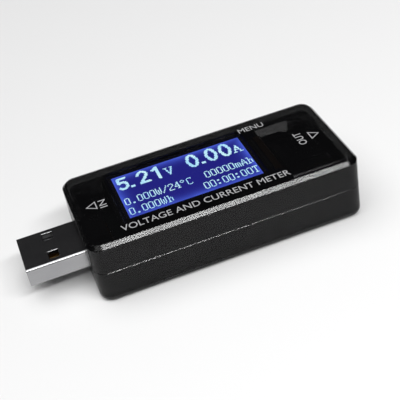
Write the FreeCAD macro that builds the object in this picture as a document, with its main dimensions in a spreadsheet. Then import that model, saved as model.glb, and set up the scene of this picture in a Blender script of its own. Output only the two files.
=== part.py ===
import FreeCAD, Part
import math
import os
import re
import Sketcher

# Pass-through power meter: a two-shell smoked case around a circuit board that carries
# a plug, a socket, a backlit display and a sideways push switch with its menu key.
# Frame: origin at the centre of the case's flat underside, +X towards the socket,
# -X towards the plug, +Y towards the menu key, +Z up. Millimetres.

driving_sizes = {
    # case
    "case_length": 60.5,
    "case_width": 28.0,
    "case_height": 15.0,
    "parting_height": 8.0,
    "wall_thickness": 1.5,
    "roof_thickness": 1.5,
    "floor_thickness": 1.5,
    "corner_radius": 3.0,
    "top_chamfer": 0.85,
    "chamfer_round": 0.15,
    "bottom_round": 1.6,
    "rim_chamfer": 0.1,
    "seam_gap": 0.08,
    "lip_height": 0.8,
    "lip_thickness": 0.65,
    "lip_clearance": 0.05,
    # snap arms
    "snap_left_place": -15.0,
    "snap_right_place": 8.0,
    "snap_width": 4.0,
    "snap_thickness": 0.9,
    "snap_drop": 2.5,
    "snap_overlap": 1.2,
    "snap_clearance": 0.1,
    "barb_height": 0.7,
    "barb_depth": 0.4,
    "barb_clearance": 0.1,
    # circuit board and the posts that hold it
    "board_thickness": 1.6,
    "board_clearance": 0.3,
    "board_corner_radius": 1.2,
    "post_radius": 1.7,
    "post_wall_gap": 0.85,
    "pin_radius": 0.8,
    "pin_clearance": 0.1,
    "pin_rise": 1.2,
    "rib_thickness": 1.0,
    "rib_place": 9.0,
    "leg_width": 1.5,
    "leg_drop": 0.5,
    "leg_slot_clearance": 0.15,
    # plug
    "connector_height": 7.0,
    "plug_length": 13.0,
    "plug_hidden_length": 6.0,
    "plug_width": 12.0,
    "plug_thickness": 4.5,
    "plug_corner_radius": 0.5,
    "shell_sheet": 0.3,
    "opening_clearance": 0.1,
    "plug_hole_from_tip": 5.5,
    "plug_hole_length": 2.2,
    "plug_hole_width": 2.5,
    "plug_hole_spacing": 6.6,
    "plug_hole_round": 0.12,
    "plug_tip_round": 0.1,
    "insulator_recess": 0.6,
    "insulator_clearance": 0.05,
    "plug_tongue_thickness": 1.9,
    "plug_block_length": 7.0,
    # contacts
    "contact_width": 1.0,
    "contact_sheet": 0.2,
    "contact_clearance": 0.05,
    "contact_inset": 0.7,
    "inner_contact_place": 1.0,
    "outer_contact_place": 3.5,
    "contact_tail_gap": 0.5,
    "contact_foot_length": 0.7,
    # socket
    "socket_width": 13.2,
    "socket_thickness": 5.8,
    "socket_depth": 12.5,
    "socket_recess": 0.2,
    "socket_corner_radius": 0.6,
    "socket_flange": 0.35,
    "socket_tongue_thickness": 1.7,
    "socket_tongue_offset": 0.2,
    "socket_tongue_recess": 1.1,
    "socket_block_length": 2.75,
    "finger_window_width": 2.6,
    "finger_window_length": 6.5,
    "finger_window_from_mouth": 2.4,
    "finger_width": 1.9,
    "finger_length": 5.9,
    "finger_bend": 0.5,
    "finger_spacing": 6.2,
    # display
    "view_length": 30.2,
    "view_width": 16.0,
    "view_centre_place": -4.35,
    "frame_to_arm": 0.2,
    "glass_margin": 1.3,
    "glass_thickness": 0.55,
    "glass_ledge": 2.6,
    "polarizer_margin": 0.8,
    "polarizer_thickness": 0.2,
    "display_gap": 0.1,
    "light_guide_thickness": 1.6,
    "frame_clearance": 0.1,
    "frame_wall": 0.6,
    "frame_floor": 0.5,
    "frame_leg": 1.6,
    "light_pocket": 0.9,
    "light_length": 0.7,
    "light_width": 3.0,
    "light_height": 1.2,
    "light_spacing": 7.0,
    "driver_chip_width": 1.2,
    "driver_chip_length": 12.0,
    "driver_chip_thickness": 0.4,
    "driver_chip_clearance": 0.25,
    "ribbon_width": 14.0,
    "ribbon_thickness": 0.12,
    "ribbon_overlap": 0.8,
    "ribbon_foot": 1.6,
    "ribbon_clearance": 0.15,
    "ribbon_turn": 0.3,
    # display window in the roof
    "window_thickness": 0.8,
    "window_margin": 1.0,
    "window_flange": 0.8,
    "window_flange_thickness": 0.4,
    "window_clearance": 0.05,
    "window_corner_radius": 0.4,
    # menu key
    "key_from_post": 4.0,
    "key_width": 6.0,
    "key_tallness": 3.2,
    "key_corner_radius": 0.8,
    "key_proud": 0.5,
    "key_edge_round": 0.3,
    "key_clearance": 0.12,
    "key_flange_width": 7.4,
    "key_flange_tallness": 4.2,
    "key_flange_thickness": 0.45,
    "key_flange_gap": 0.1,
    # push switch
    "key_travel": 0.3,
    "plunger_gap": 0.05,
    "plunger_nose_length": 0.65,
    "plunger_nose_width": 2.4,
    "plunger_nose_tallness": 1.2,
    "plunger_base_width": 3.2,
    "plunger_base_tallness": 1.9,
    "plunger_base_length": 1.0,
    "plunger_clearance": 0.1,
    "switch_width": 6.0,
    "switch_depth": 3.4,
    "switch_tallness": 3.5,
    "switch_sheet": 0.2,
    "switch_axis_rise": 1.75,
    "dome_rim_radius": 0.9,
    "dome_rise": 0.35,
    "dome_sheet": 0.08,
    "dome_gap": 0.02,
    "switch_terminal_width": 1.0,
    "switch_terminal_length": 0.9,
    "switch_terminal_thickness": 0.2,
    # small parts on the board
    "chip_standoff": 0.1,
    "lead_sheet": 0.15,
    "lead_reach": 1.0,
    "lead_foot": 0.5,
    "controller_length": 7.6,
    "controller_width": 5.3,
    "controller_thickness": 1.5,
    "controller_pitch": 0.8,
    "controller_lead_width": 0.35,
    "controller_place": -9.0,
    "controller_offset": -1.0,
    "amplifier_length": 5.0,
    "amplifier_width": 4.0,
    "amplifier_thickness": 1.5,
    "amplifier_pitch": 1.27,
    "amplifier_lead_width": 0.4,
    "amplifier_place": 3.0,
    "amplifier_offset": 3.0,
    "regulator_length": 2.9,
    "regulator_width": 1.6,
    "regulator_thickness": 1.1,
    "regulator_pitch": 0.95,
    "regulator_lead_width": 0.35,
    "regulator_place": -18.0,
    "regulator_offset": 3.0,
    "shunt_length": 5.4,
    "shunt_width": 3.2,
    "shunt_thickness": 0.6,
    "shunt_cap": 0.5,
    "shunt_place": 3.0,
    "shunt_offset": -3.5,
    "small_chip_length": 1.6,
    "small_chip_width": 0.8,
    "capacitor_thickness": 0.8,
    "capacitor_pitch": 3.2,
    "capacitor_row_start": -16.0,
    "capacitor_row_offset": 7.2,
    "resistor_thickness": 0.45,
    "resistor_pitch": 2.8,
    "resistor_row_start": -17.0,
    "resistor_row_offset": -7.4,
    "sensor_length": 2.0,
    "sensor_width": 1.25,
    "sensor_thickness": 0.7,
    "sensor_from_end": 8.0,
    "sensor_offset": -10.2,
}

contact_places = ("-outer_contact_place", "-inner_contact_place",
                  "inner_contact_place", "outer_contact_place")

# Places worked out from the driving sizes.
derived_places = {
    "half_length": "case_length / 2",
    "half_width": "case_width / 2",
    "inner_half_length": "half_length - wall_thickness",
    "inner_half_width": "half_width - wall_thickness",
    "inner_radius": "corner_radius - wall_thickness",
    "roof_underside": "case_height - roof_thickness",
    "upper_rim": "parting_height + seam_gap",
    "lip_top": "parting_height + lip_height",
    "board_top": "connector_height - plug_thickness / 2",
    "board_bottom": "board_top - board_thickness",
    "board_half_length": "inner_half_length - board_clearance",
    "board_half_width": "inner_half_width - board_clearance",
    "post_place": "inner_half_length - post_wall_gap - post_radius",
    "post_offset": "inner_half_width - post_wall_gap - post_radius",
    "post_hole_radius": "pin_radius + pin_clearance",
    "plug_tip": "-half_length - plug_length",
    "plug_rear": "-half_length + plug_hidden_length",
    "plug_half_width": "plug_width / 2",
    "plug_bottom": "connector_height - plug_thickness / 2",
    "plug_top": "connector_height + plug_thickness / 2",
    "plug_floor": "plug_bottom + shell_sheet",
    "plug_tongue_top": "plug_floor + plug_tongue_thickness",
    "plug_leg_place": "plug_rear - leg_width - 0.4",
    "socket_mouth": "half_length - socket_recess",
    "socket_rear": "socket_mouth - socket_depth",
    "socket_half_width": "socket_width / 2",
    "socket_bottom": "board_top",
    "socket_top": "socket_bottom + socket_thickness",
    "socket_axis": "socket_bottom + socket_thickness / 2",
    "socket_tongue_bottom": "socket_axis + socket_tongue_offset",
    "socket_leg_place": "socket_rear + 1.2",
    "window_near": "socket_mouth - finger_window_from_mouth",
    "window_far": "window_near - finger_window_length",
    "arm_inside": "inner_half_width - snap_clearance - snap_thickness",
    "view_to_frame": "glass_margin + frame_clearance + frame_wall",
    "view_centre_offset": "arm_inside - frame_to_arm - view_to_frame - view_width / 2",
    "view_left": "view_centre_place - view_length / 2",
    "view_right": "view_centre_place + view_length / 2",
    "view_front": "view_centre_offset - view_width / 2",
    "view_back": "view_centre_offset + view_width / 2",
    "window_underside": "case_height - window_thickness",
    "display_top": "window_underside - display_gap",
    "front_glass_top": "display_top - polarizer_thickness",
    "rear_glass_top": "front_glass_top - glass_thickness",
    "rear_glass_bottom": "rear_glass_top - glass_thickness",
    "guide_top": "rear_glass_bottom - polarizer_thickness",
    "guide_bottom": "guide_top - light_guide_thickness",
    "frame_bottom": "guide_bottom - frame_floor",
    "glass_left": "view_left - glass_margin",
    "glass_right": "view_right + glass_margin",
    "glass_front": "view_front - glass_margin",
    "glass_back": "view_back + glass_margin",
    "ledge_right": "glass_right + glass_ledge",
    "frame_left": "glass_left - frame_clearance - frame_wall",
    "frame_right": "ledge_right + frame_clearance + frame_wall",
    "frame_front": "glass_front - frame_clearance - frame_wall",
    "frame_back": "glass_back + frame_clearance + frame_wall",
    "frame_top": "roof_underside - display_gap",
    "driver_chip_left": "glass_right + driver_chip_clearance",
    "driver_chip_front": "view_centre_offset - driver_chip_length / 2",
    "ribbon_outside": "frame_right + ribbon_clearance + ribbon_thickness",
    "key_place": "post_place - post_radius - key_from_post",
    "key_back": "inner_half_width - key_flange_gap - key_flange_thickness",
    "plunger_tip": "key_back - plunger_gap",
    "switch_front": "plunger_tip - plunger_nose_length",
    "switch_back": "switch_front - switch_depth",
    "switch_axis": "board_top + switch_axis_rise",
    "plunger_back": "switch_front - plunger_base_length",
    "cavity_back": "plunger_back - dome_gap - dome_rise",
}

document = FreeCAD.newDocument("PowerMeter")
sheet = document.addObject("Spreadsheet::Sheet", "Sizes")
for row, (name, number) in enumerate(driving_sizes.items(), start=1):
    sheet.set(f"A{row}", name)
    sheet.set(f"B{row}", str(number))
    sheet.setAlias(f"B{row}", name)
document.recompute()


def linked(words):
    """Turn plain names of sizes and places into an expression on the sheet's cells."""
    def cell(match):
        word = match.group(0)
        if word in driving_sizes:
            return "Sizes." + word
        return "(" + linked(derived_places[word]) + ")"
    return re.sub(r"[a-z][a-z_]+", cell, str(words))


def value(words):
    return sheet.evalExpression(linked(words))


# ---------------------------------------------------------------- sketches

def new_body(label):
    body = document.addObject("PartDesign::Body", label)
    body.Label = label
    return body


def new_sketch(body, name, plane, start):
    sketch = body.newObject("Sketcher::SketchObject", name)
    role = plane + "_Plane"
    origin_plane = next(f for f in body.Origin.OriginFeatures if f.Role == role)
    sketch.AttachmentSupport = [(origin_plane, "")]
    sketch.MapMode = "FlatFace"
    sketch.setExpression("AttachmentOffset.Base.z", linked(start))
    return sketch


def pin_point(sketch, geometry, point, across, up):
    """Fix one point of a sketch at a signed distance from the sketch's origin."""
    for kind, words in (("DistanceX", across), ("DistanceY", up)):
        index = sketch.addConstraint(
            Sketcher.Constraint(kind, -1, 1, geometry, point, value(words)))
        sketch.setExpression(f"Constraints[{index}]", linked(words))


def draw_outline(sketch, points):
    """A closed outline of straight lines through points given as size expressions."""
    corners = [FreeCAD.Vector(value(across), value(up), 0) for across, up in points]
    count = len(points)
    first = sketch.GeometryCount
    for number in range(count):
        sketch.addGeometry(Part.LineSegment(corners[number], corners[(number + 1) % count]))
    for number in range(count):
        following = first + (number + 1) % count
        sketch.addConstraint(Sketcher.Constraint("Coincident", first + number, 2, following, 1))
        pin_point(sketch, first + number, 1, *points[number])


def draw_rectangle(sketch, across, up):
    low_across, high_across = across
    low_up, high_up = up
    draw_outline(sketch, [(low_across, low_up), (high_across, low_up),
                          (high_across, high_up), (low_across, high_up)])


def draw_rounded_rectangle(sketch, across, up, radius):
    """A rectangle with four equal rounded corners."""
    low_across, high_across = across
    low_up, high_up = up
    # each side runs between the tangent points of its two corner arcs
    sides = [
        ((f"{low_across} + {radius}", low_up), (f"{high_across} - ({radius})", low_up)),
        ((high_across, f"{low_up} + {radius}"), (high_across, f"{high_up} - ({radius})")),
        ((f"{high_across} - ({radius})", high_up), (f"{low_across} + {radius}", high_up)),
        ((low_across, f"{high_up} - ({radius})"), (low_across, f"{low_up} + {radius}")),
    ]
    centres = [
        (f"{high_across} - ({radius})", f"{low_up} + {radius}", 270),
        (f"{high_across} - ({radius})", f"{high_up} - ({radius})", 0),
        (f"{low_across} + {radius}", f"{high_up} - ({radius})", 90),
        (f"{low_across} + {radius}", f"{low_up} + {radius}", 180),
    ]
    first = sketch.GeometryCount
    upward = FreeCAD.Vector(0, 0, 1)
    size = value(radius)
    for side, centre in zip(sides, centres):
        ends = [FreeCAD.Vector(value(across), value(up), 0) for across, up in side]
        sketch.addGeometry(Part.LineSegment(*ends))
        middle = FreeCAD.Vector(value(centre[0]), value(centre[1]), 0)
        start_turn = FreeCAD.Units.Quantity(f"{centre[2]} deg").getValueAs("rad").Value
        quarter = FreeCAD.Units.Quantity("90 deg").getValueAs("rad").Value
        circle = Part.Circle(middle, upward, size)
        sketch.addGeometry(Part.ArcOfCircle(circle, start_turn, start_turn + quarter))
    for number in range(4):
        line = first + 2 * number
        arc = line + 1
        next_line = first + (2 * number + 2) % 8
        sketch.addConstraint(Sketcher.Constraint("Coincident", line, 2, arc, 1))
        sketch.addConstraint(Sketcher.Constraint("Coincident", arc, 2, next_line, 1))
        pin_point(sketch, line, 1, *sides[number][0])
        pin_point(sketch, line, 2, *sides[number][1])
        index = sketch.addConstraint(Sketcher.Constraint("Radius", arc, size))
        sketch.setExpression(f"Constraints[{index}]", linked(radius))


def draw_circle(sketch, across, up, radius):
    middle = FreeCAD.Vector(value(across), value(up), 0)
    circle = sketch.addGeometry(Part.Circle(middle, FreeCAD.Vector(0, 0, 1), value(radius)))
    pin_point(sketch, circle, 3, across, up)
    index = sketch.addConstraint(Sketcher.Constraint("Radius", circle, value(radius)))
    sketch.setExpression(f"Constraints[{index}]", linked(radius))


# ---------------------------------------------------------------- features

cuts = []


def span_start(plane, span):
    """Where the sketch sits so that the feature grows along the sketch's normal over the span."""
    low, high = span
    return f"-({high})" if plane == "XZ" else low


def add_or_cut(body, name, plane, span, draw, cut=False):
    """Pad, or pocket, the sketch that draw() fills over a span along the plane's axis."""
    sketch = new_sketch(body, name + "_sketch", plane, span_start(plane, span))
    draw(sketch)
    kind = "Pocket" if cut else "Pad"
    feature = body.newObject("PartDesign::" + kind, name)
    feature.Profile = sketch
    feature.setExpression("Length", linked(f"({span[1]}) - ({span[0]})"))
    if cut:
        feature.Reversed = True
        cuts.append(feature)
    return feature


def block(body, name, x, y, z, cut=False):
    return add_or_cut(body, name, "XY", z, lambda sketch: draw_rectangle(sketch, x, y), cut)


def rounded_block(body, name, plane, across, up, radius, span, cut=False):
    return add_or_cut(body, name, plane, span,
                      lambda sketch: draw_rounded_rectangle(sketch, across, up, radius), cut)


def profile(body, name, plane, points, span, cut=False):
    return add_or_cut(body, name, plane, span, lambda sketch: draw_outline(sketch, points), cut)


def round_posts(body, name, places, radius, z, cut=False):
    def draw(sketch):
        for across, up in places:
            draw_circle(sketch, across, up, radius)
    return add_or_cut(body, name, "XY", z, draw, cut)


def edges_level_with(feature, axis, words, span=None):
    """Names of the edges that lie wholly at one height along an axis, within a span of X."""
    document.recompute()
    level = value(words)
    first, last = (value(end) for end in span) if span else (-math.inf, math.inf)
    low = axis.upper() + "Min"
    high = axis.upper() + "Max"
    near = 1e-4
    return [f"Edge{number}" for number, edge in enumerate(feature.Shape.Edges, start=1)
            if abs(getattr(edge.BoundBox, low) - level) < near
            and abs(getattr(edge.BoundBox, high) - level) < near
            and first - near < edge.BoundBox.XMin and edge.BoundBox.XMax < last + near]


def dress(body, kind, name, feature, edges, property_name, words):
    dressed = body.newObject("PartDesign::" + kind, name)
    dressed.Base = (feature, edges)
    dressed.setExpression(property_name, linked(words))
    return dressed


def pattern_along_x(body, name, feature, count, pitch):
    pattern = body.newObject("PartDesign::LinearPattern", name)
    pattern.Originals = [feature]
    x_axis = next(f for f in body.Origin.OriginFeatures if f.Role == "X_Axis")
    pattern.Direction = (x_axis, [""])
    pattern.Occurrences = count
    pattern.setExpression("Length", linked(f"({pitch}) * {count - 1}"))
    body.Tip = pattern
    return pattern


def both_signs(words):
    return f"-({words})", words


# ---------------------------------------------------------------- case

post_places = [(x, y) for x in both_signs("post_place") for y in both_signs("post_offset")]
snap_places = ("snap_left_place", "snap_right_place")


def cut_end_openings(body, z):
    """The parts of the plug, socket and key openings that lie in this half of the case."""
    low, high = z
    inside = "wall_thickness + lip_clearance"
    block(body, "plug_opening",
          ("-half_length - 1", f"-half_length + {inside}"),
          both_signs("plug_half_width + opening_clearance"),
          (f"{low}" if body.Label == "upper_case" else "plug_bottom - opening_clearance",
           "plug_top + opening_clearance" if body.Label == "upper_case" else high), cut=True)
    block(body, "socket_opening",
          (f"half_length - ({inside})", "half_length + 1"),
          both_signs("socket_half_width + socket_flange + opening_clearance"),
          (f"{low}" if body.Label == "upper_case" else "socket_bottom - socket_flange - opening_clearance",
           "socket_top + socket_flange + opening_clearance" if body.Label == "upper_case" else high),
          cut=True)
    rounded_block(body, "key_opening", "XZ",
                  ("key_place - key_width / 2 - key_clearance", "key_place + key_width / 2 + key_clearance"),
                  ("connector_height - key_tallness / 2 - key_clearance",
                   "connector_height + key_tallness / 2 + key_clearance"),
                  "key_corner_radius", ("inner_half_width - lip_clearance", "half_width + 1"), cut=True)


def make_upper_case():
    body = new_body("upper_case")
    outer = rounded_block(body, "outer", "XY", both_signs("half_length"), both_signs("half_width"),
                          "corner_radius", ("upper_rim", "case_height"))
    bevel = dress(body, "Chamfer", "top_bevel", outer,
                  edges_level_with(outer, "z", "case_height"), "Size", "top_chamfer")
    crest = dress(body, "Fillet", "bevel_round_upper", bevel,
                  edges_level_with(bevel, "z", "case_height"), "Radius", "chamfer_round")
    dress(body, "Fillet", "bevel_round_lower", crest,
          edges_level_with(crest, "z", "case_height - top_chamfer"), "Radius", "chamfer_round")
    rounded_block(body, "hollow", "XY", both_signs("inner_half_length"),
                  both_signs("inner_half_width"), "inner_radius",
                  ("upper_rim - 1", "roof_underside"), cut=True)
    groove = "lip_thickness + lip_clearance"
    rounded_block(body, "lip_groove", "XY", both_signs(f"inner_half_length + {groove}"),
                  both_signs(f"inner_half_width + {groove}"), f"inner_radius + {groove}",
                  ("upper_rim - 1", "lip_top"), cut=True)
    rounded_block(body, "window_opening", "XY",
                  ("view_left - window_margin", "view_right + window_margin"),
                  ("view_front - window_margin", "view_back + window_margin"),
                  "window_corner_radius", ("roof_underside - 1", "case_height + 1"), cut=True)
    rebate = "window_margin + window_flange"
    rounded_block(body, "window_rebate", "XY",
                  (f"view_left - ({rebate})", f"view_right + {rebate}"),
                  (f"view_front - ({rebate})", f"view_back + {rebate}"),
                  "window_corner_radius",
                  ("roof_underside - 1",
                   "window_underside + window_flange_thickness + window_clearance"), cut=True)
    block(body, "driver_chip_relief",
          ("driver_chip_left - driver_chip_clearance",
           "driver_chip_left + driver_chip_width + driver_chip_clearance"),
          ("driver_chip_front - driver_chip_clearance",
           "driver_chip_front + driver_chip_length + driver_chip_clearance"),
          ("roof_underside - 1", "rear_glass_top + driver_chip_thickness + driver_chip_clearance"),
          cut=True)
    add_snap_arms(body)
    round_posts(body, "hold_down_posts", post_places, "post_radius",
                ("board_top", "roof_underside"))
    round_posts(body, "pin_holes", post_places, "post_hole_radius",
                ("board_top - 1", "board_top + pin_rise + pin_clearance"), cut=True)
    cut_end_openings(body, ("upper_rim - 1", "case_height"))
    return body


def add_snap_arms(body):
    """Four springy arms that hang from the side walls, each with a barb."""
    tip = "upper_rim - snap_drop"
    for place in snap_places:
        name = place.replace("_place", "")
        across = (f"{place} - snap_width / 2", f"{place} + snap_width / 2")
        for side, sign in (("front", "-"), ("back", "")):
            face = "inner_half_width"
            arm = f"{face} - snap_clearance"
            back = f"{arm} - snap_thickness"
            root = (f"{sign}({back})", f"{sign}({face} + 0.1)")
            hanging = (f"{sign}({back})", f"{sign}({arm})")
            if sign:
                root = root[::-1]
                hanging = hanging[::-1]
            block(body, f"{name}_{side}_root", across, root,
                  ("lip_top + snap_overlap", "roof_underside"))
            block(body, f"{name}_{side}_arm", across, hanging,
                  (tip, "lip_top + snap_overlap"))
            points = [(f"{sign}({arm})", tip),
                      (f"{sign}({arm} + barb_depth)", f"{tip} + barb_height - 0.15"),
                      (f"{sign}({arm} + barb_depth)", f"{tip} + barb_height"),
                      (f"{sign}({arm})", f"{tip} + barb_height")]
            profile(body, f"{name}_{side}_barb", "YZ", points, across)


def make_lower_case():
    body = new_body("lower_case")
    outer = rounded_block(body, "outer", "XY", both_signs("half_length"), both_signs("half_width"),
                          "corner_radius", ("0", "parting_height"))
    bottom = dress(body, "Fillet", "bottom_edge", outer, edges_level_with(outer, "z", "0"),
                   "Radius", "bottom_round")
    dress(body, "Chamfer", "rim_edge", bottom, edges_level_with(bottom, "z", "parting_height"),
          "Size", "rim_chamfer")
    lip = rounded_block(body, "lip", "XY", both_signs("inner_half_length + lip_thickness"),
                        both_signs("inner_half_width + lip_thickness"), "inner_radius + lip_thickness",
                        ("parting_height - 0.5", "lip_top"))
    rounded_block(body, "hollow", "XY", both_signs("inner_half_length"),
                  both_signs("inner_half_width"), "inner_radius",
                  ("floor_thickness", "case_height"), cut=True)
    for place in snap_places:
        name = place.replace("_place", "")
        for side, sign in (("front", "-"), ("back", "")):
            deep = f"{sign}(inner_half_width - snap_clearance + barb_depth + barb_clearance)"
            near = f"{sign}(inner_half_width - 0.5)"
            block(body, f"{name}_{side}_recess",
                  (f"{place} - snap_width / 2 - barb_clearance",
                   f"{place} + snap_width / 2 + barb_clearance"),
                  (deep, near) if sign else (near, deep),
                  ("upper_rim - snap_drop - barb_clearance",
                   "upper_rim - snap_drop + barb_height + barb_clearance"), cut=True)
    for side in both_signs("rib_place"):
        block(body, "rib", (f"{side} - rib_thickness / 2", f"{side} + rib_thickness / 2"),
              both_signs("inner_half_width + 0.1"), ("floor_thickness - 0.1", "board_bottom"))
    round_posts(body, "board_posts", post_places, "post_radius",
                ("floor_thickness - 0.1", "board_bottom"))
    round_posts(body, "board_pins", post_places, "pin_radius",
                ("board_bottom - 0.1", "board_top + pin_rise"))
    cut_end_openings(body, ("0", "case_height"))
    return body


def make_display_window():
    body = new_body("display_window")
    gap = "window_clearance"
    rounded_block(body, "flange", "XY",
                  (f"view_left - window_margin - window_flange + {gap}",
                   f"view_right + window_margin + window_flange - {gap}"),
                  (f"view_front - window_margin - window_flange + {gap}",
                   f"view_back + window_margin + window_flange - {gap}"),
                  "window_corner_radius",
                  ("window_underside", "window_underside + window_flange_thickness"))
    rounded_block(body, "pane", "XY",
                  (f"view_left - window_margin + {gap}", f"view_right + window_margin - {gap}"),
                  (f"view_front - window_margin + {gap}", f"view_back + window_margin - {gap}"),
                  f"window_corner_radius - {gap}", ("window_underside + 0.1", "case_height"))
    return body


# ---------------------------------------------------------------- board

def make_circuit_board():
    body = new_body("circuit_board")
    rounded_block(body, "laminate", "XY", both_signs("board_half_length"),
                  both_signs("board_half_width"), "board_corner_radius",
                  ("board_bottom", "board_top"))
    through = ("board_bottom - 1", "board_top + 1")
    round_posts(body, "pin_holes", post_places, "post_hole_radius", through, cut=True)
    for leg, half in (("plug", "plug_half_width"), ("socket", "socket_half_width")):
        place = f"{leg}_leg_place"
        for side in ("", "-"):
            outside = f"{side}({half} + leg_slot_clearance)"
            inside = f"{side}({half} - shell_sheet - leg_slot_clearance)"
            block(body, f"{leg}_leg_slot",
                  (f"{place} - leg_slot_clearance", f"{place} + leg_width + leg_slot_clearance"),
                  (outside, inside) if side else (inside, outside), through, cut=True)
    return body


# ---------------------------------------------------------------- plug and socket

def add_legs(body, place, half, bottom):
    for side in ("", "-"):
        outside = f"{side}({half})"
        inside = f"{side}({half} - shell_sheet)"
        block(body, "leg", (place, f"{place} + leg_width"),
              (outside, inside) if side else (inside, outside),
              ("board_bottom - leg_drop", f"{bottom} + 1"))


def make_plug_shell():
    body = new_body("plug_shell")
    outside = "plug_half_width"
    rounded_block(body, "tube", "YZ", both_signs(outside), ("plug_bottom", "plug_top"),
                  "plug_corner_radius", ("plug_tip", "plug_rear"))
    rounded_block(body, "bore", "YZ", both_signs(f"{outside} - shell_sheet"),
                  ("plug_floor", "plug_top - shell_sheet"),
                  "plug_corner_radius - shell_sheet", ("plug_tip - 1", "plug_rear + 1"), cut=True)
    start = "plug_tip + plug_hole_from_tip"
    end = f"{start} + plug_hole_length"
    for side in both_signs("plug_hole_spacing / 2"):
        punched = block(body, "hole", (start, end),
                        (f"{side} - plug_hole_width / 2", f"{side} + plug_hole_width / 2"),
                        ("plug_bottom - 1", "plug_top + 1"), cut=True)
    for name, level in (("hole_round_top", "plug_top"), ("hole_round_bottom", "plug_bottom")):
        punched = dress(body, "Fillet", name, punched,
                        edges_level_with(punched, "z", level, (start, end)),
                        "Radius", "plug_hole_round")
    dress(body, "Fillet", "tip_round", punched, edges_level_with(punched, "x", "plug_tip"),
          "Radius", "plug_tip_round")
    add_legs(body, "plug_leg_place", outside, "plug_bottom")
    return body


def cut_contact_channels(body, x, z):
    for place in contact_places:
        block(body, "channel", x,
              (f"{place} - contact_width / 2 - contact_clearance",
               f"{place} + contact_width / 2 + contact_clearance"), z, cut=True)


def make_plug_insulator():
    body = new_body("plug_insulator")
    sides = both_signs("plug_half_width - shell_sheet - insulator_clearance")
    corner = "plug_corner_radius - shell_sheet"
    rounded_block(body, "tongue", "YZ", sides, ("plug_floor", "plug_tongue_top"), corner,
                  ("plug_tip + insulator_recess", "plug_rear"))
    rounded_block(body, "rear_block", "YZ", sides,
                  ("plug_floor", "plug_top - shell_sheet - insulator_clearance"), corner,
                  ("plug_rear - plug_block_length", "plug_rear"))
    cut_contact_channels(body, ("plug_rear - plug_block_length - 1", "plug_rear + 1"),
                         ("plug_tongue_top", "plug_tongue_top + contact_sheet + contact_clearance"))
    return body


def contact_strips(body, points):
    for place in contact_places:
        profile(body, "contact", "XZ", points,
                (f"{place} - contact_width / 2", f"{place} + contact_width / 2"))


def make_plug_contacts():
    body = new_body("plug_contacts")
    low = "plug_tongue_top"
    high = f"{low} + contact_sheet"
    tail = "plug_rear + contact_tail_gap"
    tip = "plug_tip + insulator_recess + contact_inset"
    contact_strips(body, [
        (tip, low), (tail, low), (tail, "board_top"),
        (f"{tail} + contact_sheet + contact_foot_length", "board_top"),
        (f"{tail} + contact_sheet + contact_foot_length", "board_top + contact_sheet"),
        (f"{tail} + contact_sheet", "board_top + contact_sheet"),
        (f"{tail} + contact_sheet", high), (tip, high)])
    return body


def make_socket_shell():
    body = new_body("socket_shell")
    outside = "socket_half_width"
    rounded_block(body, "tube", "YZ", both_signs(outside), ("socket_bottom", "socket_top"),
                  "socket_corner_radius", ("socket_rear", "socket_mouth"))
    rounded_block(body, "flange", "YZ", both_signs(f"{outside} + socket_flange"),
                  ("socket_bottom - socket_flange", "socket_top + socket_flange"),
                  "socket_corner_radius + socket_flange",
                  ("socket_mouth - shell_sheet", "socket_mouth"))
    rounded_block(body, "bore", "YZ", both_signs(f"{outside} - shell_sheet"),
                  ("socket_bottom + shell_sheet", "socket_top - shell_sheet"),
                  "socket_corner_radius - shell_sheet",
                  ("socket_rear - 1", "socket_mouth + 1"), cut=True)
    for side in both_signs("finger_spacing / 2"):
        block(body, "finger_window", ("window_far", "window_near"),
              (f"{side} - finger_window_width / 2", f"{side} + finger_window_width / 2"),
              ("socket_bottom - 1", "socket_top + 1"), cut=True)
    add_spring_fingers(body)
    add_legs(body, "socket_leg_place", outside, "socket_bottom")
    return body


def add_spring_fingers(body):
    """Two fingers in the roof and two in the floor, bent inwards towards the mouth."""
    tip = "window_far + finger_length"
    for surface, inwards in (("socket_top", "-"), ("socket_bottom", "+")):
        points = [("window_far - 0.1", surface),
                  ("window_far", surface),
                  (tip, f"{surface} {inwards} finger_bend"),
                  (tip, f"{surface} {inwards} (finger_bend + shell_sheet)"),
                  ("window_far", f"{surface} {inwards} shell_sheet"),
                  ("window_far - 0.1", f"{surface} {inwards} shell_sheet")]
        for side in both_signs("finger_spacing / 2"):
            profile(body, "finger", "XZ", points,
                    (f"{side} - finger_width / 2", f"{side} + finger_width / 2"))


def make_socket_insulator():
    body = new_body("socket_insulator")
    clear = "shell_sheet + insulator_clearance"
    rounded_block(body, "rear_block", "YZ", both_signs(f"socket_half_width - ({clear})"),
                  ("socket_bottom + shell_sheet", f"socket_top - ({clear})"),
                  "socket_corner_radius - shell_sheet",
                  ("socket_rear", "socket_rear + socket_block_length"))
    block(body, "tongue", ("socket_rear + 0.1", "socket_mouth - socket_tongue_recess"),
          both_signs("plug_half_width - shell_sheet - 0.4"),
          ("socket_tongue_bottom", "socket_tongue_bottom + socket_tongue_thickness"))
    cut_contact_channels(body, ("socket_rear - 1", "socket_rear + socket_block_length + 1"),
                         ("socket_tongue_bottom - contact_sheet - contact_clearance",
                          "socket_tongue_bottom"))
    return body


def make_socket_contacts():
    body = new_body("socket_contacts")
    high = "socket_tongue_bottom"
    low = f"{high} - contact_sheet"
    tail = "socket_rear - contact_tail_gap"
    tip = "socket_mouth - socket_tongue_recess - contact_inset"
    foot = f"{tail} - contact_sheet - contact_foot_length"
    contact_strips(body, [
        (foot, "board_top"), (tail, "board_top"), (tail, low), (tip, low), (tip, high),
        (f"{tail} - contact_sheet", high), (f"{tail} - contact_sheet", "board_top + contact_sheet"),
        (foot, "board_top + contact_sheet")])
    return body


# ---------------------------------------------------------------- display

glass_across = ("glass_left", "glass_right")
glass_up = ("glass_front", "glass_back")


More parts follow.
